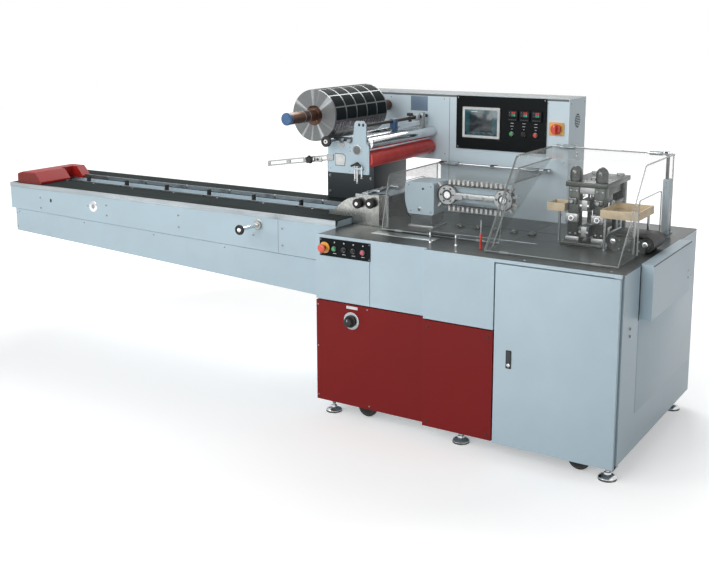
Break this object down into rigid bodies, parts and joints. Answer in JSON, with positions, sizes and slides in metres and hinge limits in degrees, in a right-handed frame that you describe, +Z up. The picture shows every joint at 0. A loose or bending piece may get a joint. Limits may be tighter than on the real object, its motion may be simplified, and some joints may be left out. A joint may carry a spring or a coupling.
{
  "type": "horizontal flow wrapper",
  "caption": "Horizontal flow wrapper with a long pusher-chain infeed, film unwinder, clear hinged guards and sealing jaws on a closed cabinet.",
  "frame": {"origin": "on the floor under the middle of the machine's outer box", "axes": "+X towards the discharge end, -Y towards the operator, +Z up"},
  "size_m": [3.748, 1.1, 1.5009],
  "materials": {
    "white_coat": "satin powder coat",
    "red_coat": "satin powder coat",
    "bright_red": "gloss paint",
    "stainless": "brushed",
    "dark_stainless": "brushed, dark",
    "grey_coat": "satin powder coat",
    "chrome": "polished",
    "machined_steel": "machined",
    "black_plastic": "moulded",
    "rubber": "moulded",
    "clear_sheet": "clear",
    "red_rubber": "ground rubber",
    "panel_black": "satin",
    "film": "printed film",
    "beige_board": "moulded",
    "signal_plastic": "moulded",
    "yellow_plastic": "moulded"
  },
  "bodies": {
    "root": {"cabinet_housing": "white_coat", "control_panel": "panel_black", "deck_front_lip": "white_coat", "deck_handle": "black_plastic", "deck_plate": "dark_stainless", "discharge_belt": "rubber", "discharge_frame": "machined_steel", "discharge_hood": "white_coat", "door_hinges": "machined_steel", "finger_belt": "rubber", "finger_belt_drive": "white_coat", "forming_box": "stainless", "guard_hinge_rails": "machined_steel", "infeed_chain": "machined_steel", "infeed_deck_plates": "dark_stainless", "infeed_guide_rails": "stainless", "infeed_housing": "white_coat", "infeed_side_panels": "white_coat", "infeed_sprockets": "machined_steel", "infeed_tail_cover": "bright_red", "jaw_frame": "machined_steel", "levelling_feet": "chrome", "lower_button_panel": "panel_black", "main_switch_plate": "yellow_plastic", "marker_post": "signal_plastic", "product_trays": "beige_board", "push_buttons": "signal_plastic", "rear_housing": "white_coat", "red_panel_left": "red_coat", "red_panel_middle": "red_coat", "reel_spindle": "machined_steel", "scale_arm": "stainless", "support_column": "grey_coat", "temperature_controllers": "black_plastic", "touchscreen": "stainless", "unwinder_plate": "white_coat", "unwinder_rods": "machined_steel", "upper_front_panels": "white_coat"},
    "cabinet_door": {"cabinet_door": "white_coat"},
    "left_guard": {"left_guard": "clear_sheet"},
    "right_guard": {"right_guard": "clear_sheet"},
    "castor_fork_front_left": {"castor_fork_front_left": "black_plastic"},
    "castor_wheel_front_left": {"castor_wheel_front_left": "rubber"},
    "castor_fork_front_right": {"castor_fork_front_right": "black_plastic"},
    "castor_wheel_front_right": {"castor_wheel_front_right": "rubber"},
    "castor_fork_rear_left": {"castor_fork_rear_left": "black_plastic"},
    "castor_wheel_rear_left": {"castor_wheel_rear_left": "rubber"},
    "castor_fork_rear_right": {"castor_fork_rear_right": "black_plastic"},
    "castor_wheel_rear_right": {"castor_wheel_rear_right": "rubber"},
    "film_reel": {"film_reel": "film"},
    "chrome_roller": {"chrome_roller": "chrome"},
    "red_roller": {"red_roller": "red_rubber"},
    "infeed_handwheel": {"infeed_handwheel": "black_plastic"},
    "unwinder_handwheel": {"unwinder_handwheel": "black_plastic"},
    "cabinet_hand_knob": {"cabinet_hand_knob": "black_plastic"},
    "main_switch_knob": {"main_switch_knob": "signal_plastic"},
    "emergency_stop": {"emergency_stop": "signal_plastic"},
    "upper_jaw": {"upper_jaw": "machined_steel"},
    "lower_jaw": {"lower_jaw": "machined_steel"}
  },
  "joints": [
    {"name": "door_hinge", "type": "hinge", "parent": "root", "child": "cabinet_door", "pos_m": [1.807, -0.509, 0.071], "axis": [0, 0, 1], "range_deg": [0, 110]},
    {"name": "left_guard_hinge", "type": "hinge", "parent": "root", "child": "left_guard", "pos_m": [0.599, 0.302, 1.109], "axis": [-1, 0, 0], "range_deg": [0, 80]},
    {"name": "right_guard_hinge", "type": "hinge", "parent": "root", "child": "right_guard", "pos_m": [1.197, 0.312, 1.229], "axis": [-1, 0, 0], "range_deg": [0, 60]},
    {"name": "castor_swivel_front_left", "type": "hinge", "parent": "root", "child": "castor_fork_front_left", "pos_m": [0.587, -0.389, 0.104], "axis": [0, 0, 1], "continuous": true},
    {"name": "castor_roll_front_left", "type": "hinge", "parent": "castor_fork_front_left", "child": "castor_wheel_front_left", "pos_m": [0.611, -0.389, 0.051], "axis": [0, 1, 0], "continuous": true},
    {"name": "castor_swivel_front_right", "type": "hinge", "parent": "root", "child": "castor_fork_front_right", "pos_m": [1.624, -0.42, 0.104], "axis": [0, 0, 1], "continuous": true},
    {"name": "castor_roll_front_right", "type": "hinge", "parent": "castor_fork_front_right", "child": "castor_wheel_front_right", "pos_m": [1.648, -0.42, 0.051], "axis": [0, 1, 0], "continuous": true},
    {"name": "castor_swivel_rear_left", "type": "hinge", "parent": "root", "child": "castor_fork_rear_left", "pos_m": [0.587, 0.427, 0.104], "axis": [0, 0, 1], "continuous": true},
    {"name": "castor_roll_rear_left", "type": "hinge", "parent": "castor_fork_rear_left", "child": "castor_wheel_rear_left", "pos_m": [0.611, 0.427, 0.051], "axis": [0, 1, 0], "continuous": true},
    {"name": "castor_swivel_rear_right", "type": "hinge", "parent": "root", "child": "castor_fork_rear_right", "pos_m": [1.624, 0.427, 0.104], "axis": [0, 0, 1], "continuous": true},
    {"name": "castor_roll_rear_right", "type": "hinge", "parent": "castor_fork_rear_right", "child": "castor_wheel_rear_right", "pos_m": [1.648, 0.427, 0.051], "axis": [0, 1, 0], "continuous": true},
    {"name": "film_reel_turn", "type": "hinge", "parent": "root", "child": "film_reel", "pos_m": [0.281, -0.33, 1.381], "axis": [0, 1, 0], "continuous": true},
    {"name": "chrome_roller_turn", "type": "hinge", "parent": "root", "child": "chrome_roller", "pos_m": [0.542, -0.292, 1.259], "axis": [0, 1, 0], "continuous": true},
    {"name": "red_roller_turn", "type": "hinge", "parent": "root", "child": "red_roller", "pos_m": [0.532, -0.292, 1.185], "axis": [0, 1, 0], "continuous": true},
    {"name": "infeed_handwheel_turn", "type": "hinge", "parent": "root", "child": "infeed_handwheel", "pos_m": [-0.061, -0.323, 0.828], "axis": [0, 1, 0], "continuous": true},
    {"name": "unwinder_handwheel_turn", "type": "hinge", "parent": "root", "child": "unwinder_handwheel", "pos_m": [0.37, -0.37, 1.268], "axis": [0, 1, 0], "continuous": true},
    {"name": "cabinet_hand_knob_turn", "type": "hinge", "parent": "root", "child": "cabinet_hand_knob", "pos_m": [0.584, -0.488, 0.482], "axis": [0, 1, 0], "continuous": true},
    {"name": "main_switch_turn", "type": "hinge", "parent": "root", "child": "main_switch_knob", "pos_m": [1.2055, 0.337, 1.3065], "axis": [0, 1, 0], "range_deg": [0, 90]},
    {"name": "emergency_stop_push", "type": "slide", "parent": "root", "child": "emergency_stop", "axis": [0, 1, 0], "range_m": [0, 0.005], "stiffness_N_per_m": 400},
    {"name": "upper_jaw_slide", "type": "slide", "parent": "root", "child": "upper_jaw", "axis": [0, 0, -1], "range_m": [0, 0.03]},
    {"name": "lower_jaw_slide", "type": "slide", "parent": "root", "child": "lower_jaw", "axis": [0, 0, 1], "range_m": [0, 0.02]}
  ],
  "couplings": [
    {"joint": "lower_jaw_slide", "follows": "upper_jaw_slide", "ratio": 0.6667}
  ]
}
